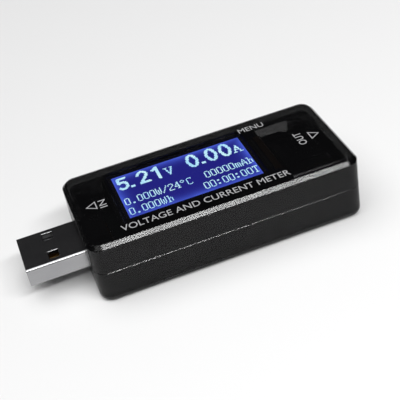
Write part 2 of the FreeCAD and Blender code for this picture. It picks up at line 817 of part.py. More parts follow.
def make_slab(label, x, y, z):
    """A plain rectangular piece as a parametric box."""
    slab = document.addObject("Part::Box", label)
    slab.Label = label
    for axis, size, span in (("x", "Length", x), ("y", "Width", y), ("z", "Height", z)):
        slab.setExpression(f"Placement.Base.{axis}", linked(span[0]))
        slab.setExpression(size, linked(f"({span[1]}) - ({span[0]})"))
    return slab


def make_polarizer(label, z):
    margin = "polarizer_margin"
    return make_slab(label, (f"view_left - {margin}", f"view_right + {margin}"),
                     (f"view_front - {margin}", f"view_back + {margin}"), z)


def make_display_stack():
    """The liquid crystal cell between its two polarizers, over the light guide."""
    guide_start = "glass_left + light_pocket"
    return [
        make_polarizer("front_polarizer", ("front_glass_top", "display_top")),
        make_slab("front_glass", glass_across, glass_up, ("rear_glass_top", "front_glass_top")),
        make_slab("rear_glass", ("glass_left", "ledge_right"), glass_up,
                  ("rear_glass_bottom", "rear_glass_top")),
        make_polarizer("rear_polarizer", ("guide_top", "rear_glass_bottom")),
        make_slab("light_guide", (guide_start, "glass_right"), glass_up,
                  ("guide_bottom", "guide_top")),
        make_slab("display_driver_chip",
                  ("driver_chip_left", "driver_chip_left + driver_chip_width"),
                  ("driver_chip_front", "driver_chip_front + driver_chip_length"),
                  ("rear_glass_top", "rear_glass_top + driver_chip_thickness")),
    ]


def make_display_frame():
    body = new_body("display_frame")
    block(body, "tray", ("frame_left", "frame_right"), ("frame_front", "frame_back"),
          ("frame_bottom", "frame_top"))
    block(body, "tray_hollow",
          ("glass_left - frame_clearance", "ledge_right + frame_clearance"),
          ("glass_front - frame_clearance", "glass_back + frame_clearance"),
          ("guide_bottom", "frame_top + 1"), cut=True)
    block(body, "ribbon_gap", ("ledge_right - 0.2", "frame_right + 1"),
          ("view_centre_offset - ribbon_width / 2 - frame_clearance",
           "view_centre_offset + ribbon_width / 2 + frame_clearance"),
          ("rear_glass_top - ribbon_turn - ribbon_clearance", "frame_top + 1"), cut=True)
    ends = (("frame_left", "frame_left + frame_leg"), ("frame_right - frame_leg", "frame_right"))
    sides = (("frame_front", "frame_front + frame_leg"), ("frame_back - frame_leg", "frame_back"))
    for across in ends:
        for up in sides:
            block(body, "leg", across, up, ("board_top", "frame_bottom + 0.1"))
    return body


def make_backlight_lamps():
    body = new_body("backlight_lamps")
    for side in both_signs("light_spacing / 2"):
        centre = f"view_centre_offset + {side}"
        block(body, "lamp", ("glass_left", "glass_left + light_length"),
              (f"{centre} - light_width / 2", f"{centre} + light_width / 2"),
              ("guide_bottom", "guide_bottom + light_height"))
    return body


def make_display_ribbon():
    """Flexible circuit from the glass ledge, over the frame's wall and down to the board."""
    body = new_body("display_ribbon")
    sheet_of = "ribbon_thickness"
    start = "ledge_right - ribbon_overlap"
    out = "ribbon_outside"
    low = "rear_glass_top"
    turn = "ribbon_turn"
    foot = f"{out} - ribbon_foot"
    points = [
        (start, low), (f"{out} - {sheet_of} - {turn}", low), (f"{out} - {sheet_of}", f"{low} - {turn}"),
        (f"{out} - {sheet_of}", f"board_top + {sheet_of} + {turn}"),
        (f"{out} - {sheet_of} - {turn}", f"board_top + {sheet_of}"), (foot, f"board_top + {sheet_of}"),
        (foot, "board_top"), (f"{out} - {turn}", "board_top"), (out, f"board_top + {turn}"),
        (out, f"{low} + {sheet_of} - {turn}"), (f"{out} - {turn}", f"{low} + {sheet_of}"),
        (start, f"{low} + {sheet_of}")]
    profile(body, "ribbon", "XZ", points,
            ("view_centre_offset - ribbon_width / 2", "view_centre_offset + ribbon_width / 2"))
    return body


# ---------------------------------------------------------------- key and switch

def centred(centre, size):
    return f"{centre} - {size} / 2", f"{centre} + {size} / 2"


def make_menu_key():
    body = new_body("menu_key")
    face = rounded_block(body, "button", "XZ", centred("key_place", "key_width"),
                         centred("connector_height", "key_tallness"), "key_corner_radius",
                         ("key_back + 0.1", "half_width + key_proud"))
    dress(body, "Fillet", "button_edge", face,
          edges_level_with(face, "y", "half_width + key_proud"), "Radius", "key_edge_round")
    rounded_block(body, "flange", "XZ", centred("key_place", "key_flange_width"),
                  centred("connector_height", "key_flange_tallness"), "key_corner_radius",
                  ("key_back", "key_back + key_flange_thickness"))
    return body


def make_switch_body():
    body = new_body("switch_body")
    block(body, "housing", centred("key_place", "switch_width"), ("switch_back", "switch_front"),
          ("board_top", "board_top + switch_tallness"))
    profile(body, "cavity", "XZ", [
        ("key_place - plunger_base_width / 2 - plunger_clearance",
         "switch_axis - plunger_base_tallness / 2 - plunger_clearance"),
        ("key_place + plunger_base_width / 2 + plunger_clearance",
         "switch_axis - plunger_base_tallness / 2 - plunger_clearance"),
        ("key_place + plunger_base_width / 2 + plunger_clearance",
         "switch_axis + plunger_base_tallness / 2 + plunger_clearance"),
        ("key_place - plunger_base_width / 2 - plunger_clearance",
         "switch_axis + plunger_base_tallness / 2 + plunger_clearance")],
        ("cavity_back", "switch_front + 1"), cut=True)
    return body


def make_switch_cover():
    """Bent metal plate over the front and top of the switch, with a hole for the plunger."""
    body = new_body("switch_cover")
    across = centred("key_place", "switch_width")
    block(body, "front_plate", across, ("switch_front", "switch_front + switch_sheet"),
          ("board_top", "board_top + switch_tallness + switch_sheet"))
    block(body, "top_plate", across, ("switch_back", "switch_front + 0.1"),
          ("board_top + switch_tallness", "board_top + switch_tallness + switch_sheet"))
    clear = "plunger_clearance"
    block(body, "plunger_hole",
          (f"key_place - plunger_nose_width / 2 - {clear}", f"key_place + plunger_nose_width / 2 + {clear}"),
          ("switch_front - 0.2", "switch_front + switch_sheet + 1"),
          (f"switch_axis - plunger_nose_tallness / 2 - {clear}",
           f"switch_axis + plunger_nose_tallness / 2 + {clear}"), cut=True)
    return body


def make_switch_plunger():
    body = new_body("switch_plunger")
    block(body, "base", centred("key_place", "plunger_base_width"),
          ("plunger_back", "switch_front"), centred("switch_axis", "plunger_base_tallness"))
    block(body, "nose", centred("key_place", "plunger_nose_width"),
          ("switch_front - 0.1", "plunger_tip"), centred("switch_axis", "plunger_nose_tallness"))
    return body


def make_switch_dome():
    """Shallow snap dome behind the plunger, turned about its own Z axis and then laid over."""
    body = new_body("switch_dome")
    sketch = new_sketch(body, "dome_sketch", "XZ", "0")
    draw_outline(sketch, [
        ("dome_rim_radius", "0"), ("dome_rim_radius", "dome_sheet"),
        ("dome_rim_radius * 0.55", "dome_rise * 0.8"), ("0", "dome_rise"),
        ("0", "dome_rise - dome_sheet"), ("dome_rim_radius * 0.5", "dome_rise * 0.8 - dome_sheet")])
    dome = body.newObject("PartDesign::Revolution", "dome")
    dome.Profile = sketch
    dome.ReferenceAxis = (sketch, ["V_Axis"])
    dome.Angle = 360
    body.Placement.Rotation = FreeCAD.Rotation(FreeCAD.Vector(1, 0, 0), -90)
    body.setExpression("Placement.Base.x", linked("key_place"))
    body.setExpression("Placement.Base.y", linked("cavity_back"))
    body.setExpression("Placement.Base.z", linked("switch_axis"))
    return body


def make_switch_terminals():
    body = new_body("switch_terminals")
    for side in ("-", "+"):
        edge = f"key_place {side} switch_width / 2"
        outer = f"{edge} {side} switch_terminal_length"
        across = (outer, edge) if side == "-" else (edge, outer)
        for up in (("switch_back", "switch_back + switch_terminal_width"),
                   ("switch_front - switch_terminal_width", "switch_front")):
            block(body, "terminal", across, up,
                  ("board_top", "board_top + switch_terminal_thickness"))
    return body


# ---------------------------------------------------------------- small parts

def make_leaded_chip(label, name, leads_per_side):
    """A chip with gull-wing leads on its two long sides, as a body and a group of leads."""
    place = f"{name}_place"
    offset = f"{name}_offset"
    low = "board_top + chip_standoff"
    chip = make_slab(label, centred(place, f"{name}_length"), centred(offset, f"{name}_width"),
                     (low, f"{low} + {name}_thickness"))
    leads = new_body(label + "_leads")
    middle = f"{low} + {name}_thickness / 2"
    reach = f"{name}_width / 2 + lead_reach"
    bend = f"{name}_width / 2 + lead_reach - lead_foot"

    def draw(sketch):
        for sign in ("-", "+"):
            edge = f"{offset} {sign} {name}_width / 2"
            knee = f"{offset} {sign} ({bend})"
            knee_in = f"{offset} {sign} ({bend} - lead_sheet)"
            toe = f"{offset} {sign} ({reach})"
            draw_outline(sketch, [
                (edge, middle), (edge, f"{middle} + lead_sheet"), (knee, f"{middle} + lead_sheet"),
                (knee, "board_top + lead_sheet"), (toe, "board_top + lead_sheet"),
                (toe, "board_top"), (knee_in, "board_top"), (knee_in, middle)])

    half_row = f"{name}_pitch * {leads_per_side - 1} / 2"
    first = f"{place} - {half_row}"
    lead = add_or_cut(leads, "lead", "YZ", centred(first, f"{name}_lead_width"), draw)
    pattern_along_x(leads, "lead_row", lead, leads_per_side, f"{name}_pitch")
    return [chip, leads]


def make_chip_row(label, name, count):
    """A row of equal small two-ended chips."""
    body = new_body(label)
    first = block(body, "chip", centred(f"{name}_row_start", "small_chip_length"),
                  centred(f"{name}_row_offset", "small_chip_width"),
                  ("board_top", f"board_top + {name}_thickness"))
    pattern_along_x(body, "row", first, count, f"{name}_pitch")
    return body


def make_current_shunt():
    shunt = make_slab("current_shunt", centred("shunt_place", "shunt_length"),
                      centred("shunt_offset", "shunt_width"),
                      ("board_top", "board_top + shunt_thickness"))
    caps = new_body("shunt_caps")
    for sign in ("-", "+"):
        edge = f"shunt_place {sign} shunt_length / 2"
        outer = f"{edge} {sign} shunt_cap"
        block(caps, "cap", (outer, edge) if sign == "-" else (edge, outer),
              centred("shunt_offset", "shunt_width"), ("board_top", "board_top + shunt_thickness"))
    return [shunt, caps]


def make_temperature_sensor():
    return make_slab("temperature_sensor",
                     centred("half_length - sensor_from_end", "sensor_length"),
                     centred("sensor_offset", "sensor_width"),
                     ("board_top", "board_top + sensor_thickness"))


def failed_objects():
    return [thing.Name for thing in document.Objects
            if {"Invalid", "Error"} & set(thing.State)]


def main():
    nodes = [
        make_upper_case(), make_lower_case(), make_display_window(), make_circuit_board(),
        make_plug_shell(), make_plug_insulator(), make_plug_contacts(),
        make_socket_shell(), make_socket_insulator(), make_socket_contacts(),
        make_display_frame(), make_backlight_lamps(), make_display_ribbon(),
        make_menu_key(), make_switch_body(), make_switch_cover(), make_switch_plunger(),
        make_switch_dome(), make_switch_terminals(), make_temperature_sensor(),
        make_chip_row("chip_capacitors", "capacitor", 7),
        make_chip_row("chip_resistors", "resistor", 9),
    ]
    nodes += make_display_stack()
    nodes += make_current_shunt()
    nodes += make_leaded_chip("microcontroller", "controller", 8)
    nodes += make_leaded_chip("sense_amplifier", "amplifier", 4)
    nodes += make_leaded_chip("voltage_regulator", "regulator", 3)
    document.recompute()

    failures = failed_objects()
    if failures:
        raise RuntimeError("failed objects: " + ", ".join(failures))
    for cut in cuts:
        before = cut.BaseFeature.Shape.Volume
        if cut.Shape.Volume > before - 1e-6:
            raise RuntimeError(f"{cut.getParent().Label}: {cut.Name} cuts nothing")
    for node in nodes:
        if node.Shape.isNull() or not node.Shape.isValid():
            raise RuntimeError(node.Label + " has no valid shape")

    os.makedirs("parts", exist_ok=True)
    for node in nodes:
        node.Shape.exportStep(f"parts/{node.Label}.step")
        box = node.Shape.BoundBox
        print(f"{node.Label:28s} solids {len(node.Shape.Solids):3d}  volume {node.Shape.Volume:9.3f}  "
              f"x {box.XMin:7.2f} {box.XMax:7.2f}  y {box.YMin:7.2f} {box.YMax:7.2f}  "
              f"z {box.ZMin:6.2f} {box.ZMax:6.2f}")
    print(len(nodes), "nodes written")


main()
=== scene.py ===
import math
import bmesh
import bpy
from mathutils import Matrix, Vector


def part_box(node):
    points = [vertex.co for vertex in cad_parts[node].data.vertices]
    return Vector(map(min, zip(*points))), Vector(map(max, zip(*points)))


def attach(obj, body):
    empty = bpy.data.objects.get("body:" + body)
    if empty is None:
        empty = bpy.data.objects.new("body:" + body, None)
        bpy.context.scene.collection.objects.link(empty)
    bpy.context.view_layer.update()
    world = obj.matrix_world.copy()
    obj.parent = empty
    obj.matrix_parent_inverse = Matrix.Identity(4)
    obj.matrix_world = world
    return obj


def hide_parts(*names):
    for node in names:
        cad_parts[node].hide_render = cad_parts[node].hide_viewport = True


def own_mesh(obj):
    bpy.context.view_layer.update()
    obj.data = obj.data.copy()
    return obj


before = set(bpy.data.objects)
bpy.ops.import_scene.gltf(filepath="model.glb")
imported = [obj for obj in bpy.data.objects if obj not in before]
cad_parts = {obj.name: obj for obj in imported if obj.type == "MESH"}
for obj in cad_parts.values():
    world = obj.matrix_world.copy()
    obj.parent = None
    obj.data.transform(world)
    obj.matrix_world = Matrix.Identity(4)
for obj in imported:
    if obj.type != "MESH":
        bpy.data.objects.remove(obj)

# Pass-through power meter: the CAD parts carry the shape, and this script gives them their
# finishes, the lit display, the printed marks, the solder work, the floor, lights and camera.

scene = bpy.context.scene
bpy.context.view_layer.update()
mm = 0.001

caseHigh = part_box("lower_case")[1]
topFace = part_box("upper_case")[1].z


def linear(red, green, blue):
    def channel(value):
        value /= 255
        return value / 12.92 if value <= 0.04045 else ((value + 0.055) / 1.055) ** 2.4
    return (channel(red), channel(green), channel(blue), 1.0)


def startMaterial(name):
    material = bpy.data.materials.new(name)
    material.use_nodes = True
    tree = material.node_tree
    return material, tree.nodes, tree.links, tree.nodes["Principled BSDF"]


# What every finish starts from, unless it says otherwise.
finishBasics = {
    "patchesPerGrain": 12,           # how much broader the patches are than the fine grain
    "patchDetail": 2.0,
    "bumpDepth": 0.003, "ior": 1.5, "coatRoughness": 0.05,
    "noiseLow": 0.3, "noiseHigh": 0.7,   # the part of the noise's range that is used
}


# Noise on the piece's own coordinates, stretched along any axis.
def grain(nodes, links, scale, stretch=(1, 1, 1), detail=3.0):
    place = nodes.new("ShaderNodeTexCoord")
    mapping = nodes.new("ShaderNodeMapping")
    mapping.inputs["Scale"].default_value = stretch
    noise = nodes.new("ShaderNodeTexNoise")
    noise.inputs["Scale"].default_value = scale
    noise.inputs["Detail"].default_value = detail
    links.new(place.outputs["Object"], mapping.inputs["Vector"])
    links.new(mapping.outputs["Vector"], noise.inputs["Vector"])
    return noise.outputs["Fac"]


# Map a noise value onto a range.
def spread(nodes, links, source, low, high):
    ranger = nodes.new("ShaderNodeMapRange")
    ranger.inputs["From Min"].default_value = finishBasics["noiseLow"]
    ranger.inputs["From Max"].default_value = finishBasics["noiseHigh"]
    ranger.inputs["To Min"].default_value = low
    ranger.inputs["To Max"].default_value = high
    links.new(source, ranger.inputs["Value"])
    return ranger.outputs["Result"]


# A finish whose colour, gloss and surface vary with grain at the scale of the real one.
def makeFinish(name, look):
    material, nodes, links, shader = startMaterial(name)
    stretch = look.get("stretch", (1, 1, 1))
    fine = grain(nodes, links, look["grainScale"], stretch)
    patchScale = look.get("patchScale", look["grainScale"] / finishBasics["patchesPerGrain"])
    broad = grain(nodes, links, patchScale, stretch, finishBasics["patchDetail"])
    mix = nodes.new("ShaderNodeMix")
    mix.data_type = "RGBA"
    mix.inputs[6].default_value = look["color"]
    mix.inputs[7].default_value = look.get("worn", look["color"])
    links.new(spread(nodes, links, broad, 0.0, 1.0), mix.inputs[0])
    links.new(mix.outputs[2], shader.inputs["Base Color"])
    low, high = look["roughness"]
    links.new(spread(nodes, links, fine, low, high), shader.inputs["Roughness"])
    if look.get("bump"):
        bump = nodes.new("ShaderNodeBump")
        bump.inputs["Strength"].default_value = look["bump"]
        bump.inputs["Distance"].default_value = look.get("bumpDepth", finishBasics["bumpDepth"]) * mm
        links.new(fine, bump.inputs["Height"])
        links.new(bump.outputs["Normal"], shader.inputs["Normal"])
    shader.inputs["Metallic"].default_value = look.get("metallic", 0.0)
    shader.inputs["IOR"].default_value = look.get("ior", finishBasics["ior"])
    shader.inputs["Alpha"].default_value = look.get("alpha", 1.0)
    shader.inputs["Coat Weight"].default_value = look.get("coat", 0.0)
    shader.inputs["Coat Roughness"].default_value = finishBasics["coatRoughness"]
    if "glow" in look:
        shader.inputs["Emission Color"].default_value = look["glow"]
        shader.inputs["Emission Strength"].default_value = look["glowStrength"]
    return material


finishes = {
    "smokedCase": {"color": linear(6, 6, 7), "worn": linear(10, 10, 11), "grainScale": 260,
                   "patchScale": 70, "roughness": (0.11, 0.16), "alpha": 0.56, "ior": 1.45},
    "wallTint": {"color": linear(5, 5, 6), "worn": linear(10, 10, 11), "grainScale": 700,
                 "roughness": (0.5, 0.7), "alpha": 0.72, "ior": 1.0},
    "clearWindow": {"color": linear(18, 18, 24), "grainScale": 2200, "patchScale": 80,
                    "roughness": (0.02, 0.05), "alpha": 0.1, "ior": 1.5},
    "keyPlastic": {"color": linear(22, 22, 24), "worn": linear(32, 32, 34), "grainScale": 5200,
                   "roughness": (0.16, 0.30), "bump": 0.15, "bumpDepth": 0.01},
    "connectorSteel": {"color": linear(168, 168, 169), "worn": linear(158, 158, 160),
                       "grainScale": 5200, "patchScale": 300, "stretch": (0.4, 1.0, 1.0),
                       "roughness": (0.16, 0.24), "metallic": 1.0, "bump": 0.05,
                       "bumpDepth": 0.0012},
    "contactGold": {"color": linear(188, 150, 84), "worn": linear(166, 128, 66),
                    "grainScale": 2600, "stretch": (0.3, 1.0, 1.0), "roughness": (0.16, 0.28),
                    "metallic": 1.0},
    "connectorPlastic": {"color": linear(30, 30, 32), "worn": linear(40, 40, 42),
                         "grainScale": 5200, "roughness": (0.38, 0.52), "bump": 0.2},
    "boardMask": {"color": linear(14, 26, 20), "worn": linear(20, 36, 27), "grainScale": 2400,
                  "roughness": (0.25, 0.40), "coat": 0.4, "bump": 0.1},
    "solder": {"color": linear(190, 192, 196), "worn": linear(160, 162, 166), "grainScale": 3600,
               "roughness": (0.15, 0.35), "metallic": 1.0, "bump": 0.2},
    "framePlastic": {"color": linear(16, 16, 17), "worn": linear(22, 22, 23), "grainScale": 5200,
                     "roughness": (0.45, 0.60), "bump": 0.2},
    "displayMask": {"color": linear(7, 7, 10), "grainScale": 2600, "roughness": (0.20, 0.30)},
    "cellGlass": {"color": linear(18, 20, 46), "grainScale": 2000, "roughness": (0.03, 0.07),
                  "alpha": 0.75},
    "litGuide": {"color": linear(60, 66, 150), "grainScale": 2000, "roughness": (0.20, 0.35),
                 "glow": linear(40, 46, 210), "glowStrength": 0.35},
    "lampBody": {"color": linear(225, 225, 215), "grainScale": 4000, "roughness": (0.3, 0.4),
                 "glow": linear(190, 205, 255), "glowStrength": 0.6},
    "ribbonFilm": {"color": linear(52, 34, 16), "worn": linear(64, 42, 20),
                   "grainScale": 2600, "roughness": (0.25, 0.4), "alpha": 0.95},
    "chipEpoxy": {"color": linear(24, 24, 25), "worn": linear(32, 32, 33), "grainScale": 6000,
                  "roughness": (0.50, 0.66), "bump": 0.3},
    "tinned": {"color": linear(196, 197, 200), "worn": linear(176, 177, 180),
               "grainScale": 4200, "roughness": (0.22, 0.38), "metallic": 1.0},
    "ceramicTan": {"color": linear(150, 118, 82), "worn": linear(134, 102, 70),
                   "grainScale": 6000, "roughness": (0.5, 0.62)},
    "resistorBlack": {"color": linear(20, 20, 21), "worn": linear(28, 28, 30),
                      "grainScale": 6000, "roughness": (0.28, 0.42)},
    "switchPlastic": {"color": linear(38, 38, 40), "worn": linear(46, 46, 48),
                      "grainScale": 6000, "roughness": (0.42, 0.55), "bump": 0.2},
    "plungerPlastic": {"color": linear(196, 190, 176), "worn": linear(182, 176, 160),
                       "grainScale": 6000, "roughness": (0.38, 0.5)},
    "silkInk": {"color": linear(172, 172, 174), "worn": linear(156, 156, 158),
                "grainScale": 9000, "patchScale": 700, "roughness": (0.45, 0.6), "bump": 0.1},
}
materials = {name: makeFinish(name, look) for name, look in finishes.items()}
print("finishes ready:", len(materials))

nodeFinish = {
    "upper_case": "smokedCase", "lower_case": "smokedCase", "display_window": "clearWindow",
    "menu_key": "keyPlastic", "circuit_board": "boardMask", "plug_shell": "connectorSteel",
    "socket_shell": "connectorSteel", "switch_cover": "connectorSteel",
    "plug_insulator": "connectorPlastic", "socket_insulator": "connectorPlastic",
    "plug_contacts": "contactGold", "socket_contacts": "contactGold",
    "display_frame": "framePlastic", "backlight_lamps": "lampBody",
    "display_ribbon": "ribbonFilm", "switch_body": "switchPlastic",
    "switch_plunger": "plungerPlastic", "switch_dome": "tinned", "switch_terminals": "tinned",
    "temperature_sensor": "resistorBlack", "chip_capacitors": "ceramicTan",
    "chip_resistors": "resistorBlack", "rear_polarizer": "cellGlass", "front_glass": "cellGlass",
    "rear_glass": "cellGlass", "light_guide": "litGuide", "display_driver_chip": "chipEpoxy",
    "current_shunt": "resistorBlack", "shunt_caps": "tinned", "microcontroller": "chipEpoxy",
    "sense_amplifier": "chipEpoxy", "voltage_regulator": "chipEpoxy",
    "microcontroller_leads": "tinned", "sense_amplifier_leads": "tinned",
    "voltage_regulator_leads": "tinned",
}
for nodeName, finishName in nodeFinish.items():
    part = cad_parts[nodeName]
    part.data.materials.clear()
    part.data.materials.append(materials[finishName])


def addPiece(name, mesh, finishName, body="housing"):
    piece = bpy.data.objects.new(name, mesh)
    scene.collection.objects.link(piece)
    mesh.materials.clear()
    mesh.materials.append(materials[finishName])
    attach(piece, body)
    return piece


# A mesh filled by build(bm), with its faces turned outwards.
def meshFrom(name, build):
    bm = bmesh.new()
    build(bm)
    bmesh.ops.recalc_face_normals(bm, faces=bm.faces)
    mesh = bpy.data.meshes.new(name)
    bm.to_mesh(mesh)
    bm.free()
    return mesh


# A closed block between two corners.
def addBlock(bm, low, high):
    plan = ((low[0], low[1]), (high[0], low[1]), (high[0], high[1]), (low[0], high[1]))
    corners = [bm.verts.new((x, y, z)) for z in (low[2], high[2]) for x, y in plan]
    bottomAndTop = ((3, 2, 1, 0), (4, 5, 6, 7))
    sides = ((0, 1, 5, 4), (1, 2, 6, 5), (2, 3, 7, 6), (3, 0, 4, 7))
    for face in bottomAndTop + sides:
        bm.faces.new([corners[index] for index in face])


defaultSize = 0.2 * mm       # what a tree's size input holds until a piece sets it


def newTree(name):
    tree = bpy.data.node_groups.new(name, "GeometryNodeTree")
    tree.interface.new_socket("Geometry", in_out="INPUT", socket_type="NodeSocketGeometry")
    tree.interface.new_socket("Geometry", in_out="OUTPUT", socket_type="NodeSocketGeometry")
    source = tree.nodes.new("NodeGroupInput")
    result = tree.nodes.new("NodeGroupOutput")
    return tree, source, result


def addSize(tree, name, default):
    socket = tree.interface.new_socket(name, in_out="INPUT", socket_type="NodeSocketFloat")
    socket.default_value = default
    return socket.identifier


# Every tree ends with real faces that carry their finish.
def finishTree(tree, geometry, result, finishName):
    realize = tree.nodes.new("GeometryNodeRealizeInstances")
    setMaterial = tree.nodes.new("GeometryNodeSetMaterial")
    setMaterial.inputs["Material"].default_value = materials[finishName]
    tree.links.new(geometry, realize.inputs["Geometry"])
    tree.links.new(realize.outputs["Geometry"], setMaterial.inputs["Geometry"])
    tree.links.new(setMaterial.outputs["Geometry"], result.inputs["Geometry"])


# Grow a tree on a cloud of points, and keep the result as a plain mesh.
def grown(name, points, tree, sizes, finishName, body="housing"):
    seedMesh = bpy.data.meshes.new(name + "Points")
    seedMesh.from_pydata(points, [], [])
    seed = bpy.data.objects.new(name + "Seed", seedMesh)
    scene.collection.objects.link(seed)
    modifier = seed.modifiers.new(name, "NODES")
    modifier.node_group = tree
    for identifier, size in sizes.items():
        modifier[identifier] = size
    depsgraph = bpy.context.evaluated_depsgraph_get()
    mesh = bpy.data.meshes.new_from_object(seed.evaluated_get(depsgraph))
    bpy.data.objects.remove(seed)
    return addPiece(name, mesh, finishName, body)


display = {
    "columns": 128, "rows": 64,
    "viewLength": 30.2 * mm, "viewWidth": 16.0 * mm,
    "fill": 0.94,             # share of a cell that its lit dot fills
    "dotHeight": 0.004 * mm,
    "field": linear(27, 27, 134), "fieldEdge": linear(84, 112, 250),
    "fieldUnlit": linear(6, 6, 20), "fieldRoughness": 0.35, "fieldGlow": 1.0,
    "edgeWidth": 5.5 * mm, "edgePower": 4.5,
    "edgeClouds": 160, "edgeCloudRange": (0.55, 1.0),   # uneven light along the border
    "dot": linear(208, 250, 255), "dotPatch": linear(170, 226, 255),
    "dotUnlit": linear(40, 60, 70), "dotRoughness": 0.4, "dotGlow": 1.2,
    "dotClouds": 300, "cloudDetail": 2.0,
}

# Small characters, 5 dots wide and 10 high, top row first. The letter d is the degree sign.
smallPitch = 6               # dots from one small character to the next
smallShapes = {
    "0": " ### /#   #/#   #/#   #/#   #/#   #/#   #/#   #/#   #/ ### ",
    "2": " ### /#   #/#   #/    #/   # /  #  / #   /#    /#    /#####",
    "4": "   # /  ## /  ## / # # / # # /#  # /#####/   # /   # /  ###",
    ".": "     /     /     /     /     /     /     /     / ##  / ##  ",
    ":": "     /     / ##  / ##  /     /     /     / ##  / ##  /     ",
    "/": "    #/    #/   # /   # /  #  /  #  / #   / #   /#    /#    ",
    "W": "#   #/#   #/#   #/# # #/# # #/# # #/# # #/# # #/ # # / # # ",
    "h": "##   / #   / #   / # # / ## #/ #  #/ #  #/ #  #/ #  #/###  ",
    "m": "     /     /     /## # /# # #/# # #/# # #/# # #/# # #/# # #",
    "A": "  #  /  #  / # # / # # / # # /#   #/#####/#   #/#   #/#   #",
    "T": "#####/# # #/  #  /  #  /  #  /  #  /  #  /  #  /  #  / ### ",
    "d": " ##  /#  # /#  # / ##  /     /     /     /     /     /     ",
    "C": " ####/#   #/#    /#    /#    /#    /#    /#    /#   #/ ### ",
}
smallLines = [               # words, first column, first row
    ("0.000W/24dC", 2, 35), ("00000mAh", 80, 34),
    ("0.000Wh", 2, 50), ("00:00:00T", 74, 49),
]


# Points along an arc, from one angle to another in degrees.
def arcPoints(centre, radii, start, end, steps=18):
    turns = [math.radians(start + (end - start) * step / steps) for step in range(steps + 1)]
    return [(centre[0] + radii[0] * math.cos(turn), centre[1] - radii[1] * math.sin(turn))
            for turn in turns]


# Large characters as strokes in a box about 12 dots wide and 21 high, y down.
largeStrokes = {
    "0": [arcPoints((6, 10.5), (4.2, 8.7), 0, 360, 36)],
    "1": [[(2.6, 5.4), (6.6, 2.2), (6.6, 19.4)]],
    "2": [arcPoints((5.9, 6.4), (4.2, 4.6), 172, -38) + [(2.0, 18.9), (10.4, 18.9)]],
    "5": [[(9.8, 2.1), (2.9, 2.1), (2.3, 9.2)] + arcPoints((5.6, 13.4), (4.4, 5.3), 128, -140)],
    ".": [[(2.4, 18.4), (3.4, 18.4)]],
    "V": [[(0.8, 9.0), (3.8, 19.2), (6.8, 9.0)], [(-0.2, 8.8), (2.0, 8.8)], [(5.6, 8.8), (7.8, 8.8)]],
    "A": [[(0.8, 19.2), (3.8, 9.0), (6.8, 19.2)], [(2.0, 15.6), (5.6, 15.6)],
          [(-0.4, 19.4), (2.0, 19.4)], [(5.6, 19.4), (8.0, 19.4)]],
}
largeLines = [("5", 2), (".", 13), ("2", 22), ("1", 36), ("V", 49),   # character, first column
              ("0", 71), (".", 83), ("0", 90), ("0", 104), ("A", 117)]
largeTop = 2                 # first row of the large characters
largeColumns = range(-2, 14)    # cells that a large character's strokes can reach
largeRows = range(0, 23)
strokeReach = 1.45           # a cell this near to a stroke is lit
ownReach = {"V": 0.7, "A": 0.7, ".": 1.7}


# Distance in dots from a point to the nearest place on a stroke.
def strokeDistance(point, stroke):
    nearest = math.inf
    for start, end in zip(stroke, stroke[1:]):
        along = (end[0] - start[0], end[1] - start[1])
        length = along[0] ** 2 + along[1] ** 2
        share = ((point[0] - start[0]) * along[0] + (point[1] - start[1]) * along[1]) / length
        share = min(1, max(0, share))
        gap = math.hypot(point[0] - start[0] - share * along[0],
                         point[1] - start[1] - share * along[1])
        nearest = min(nearest, gap)
    return nearest


# The cells of the display that are on, as (column, row) with row 0 at the top.
def litDots():
    cells = set()
    for words, left, top in smallLines:
        for place, letter in enumerate(words):
            for row, line in enumerate(smallShapes[letter].split("/")):
                for column, mark in enumerate(line):
                    if mark == "#":
                        cells.add((left + smallPitch * place + column, top + row))
    for letter, left in largeLines:
        reach = ownReach.get(letter, strokeReach)
        for column in largeColumns:
            for row in largeRows:
                middle = (column + 0.5, row + 0.5)
                if min(strokeDistance(middle, stroke) for stroke in largeStrokes[letter]) < reach:
                    cells.add((left + column, largeTop + row))
    return sorted(cells)


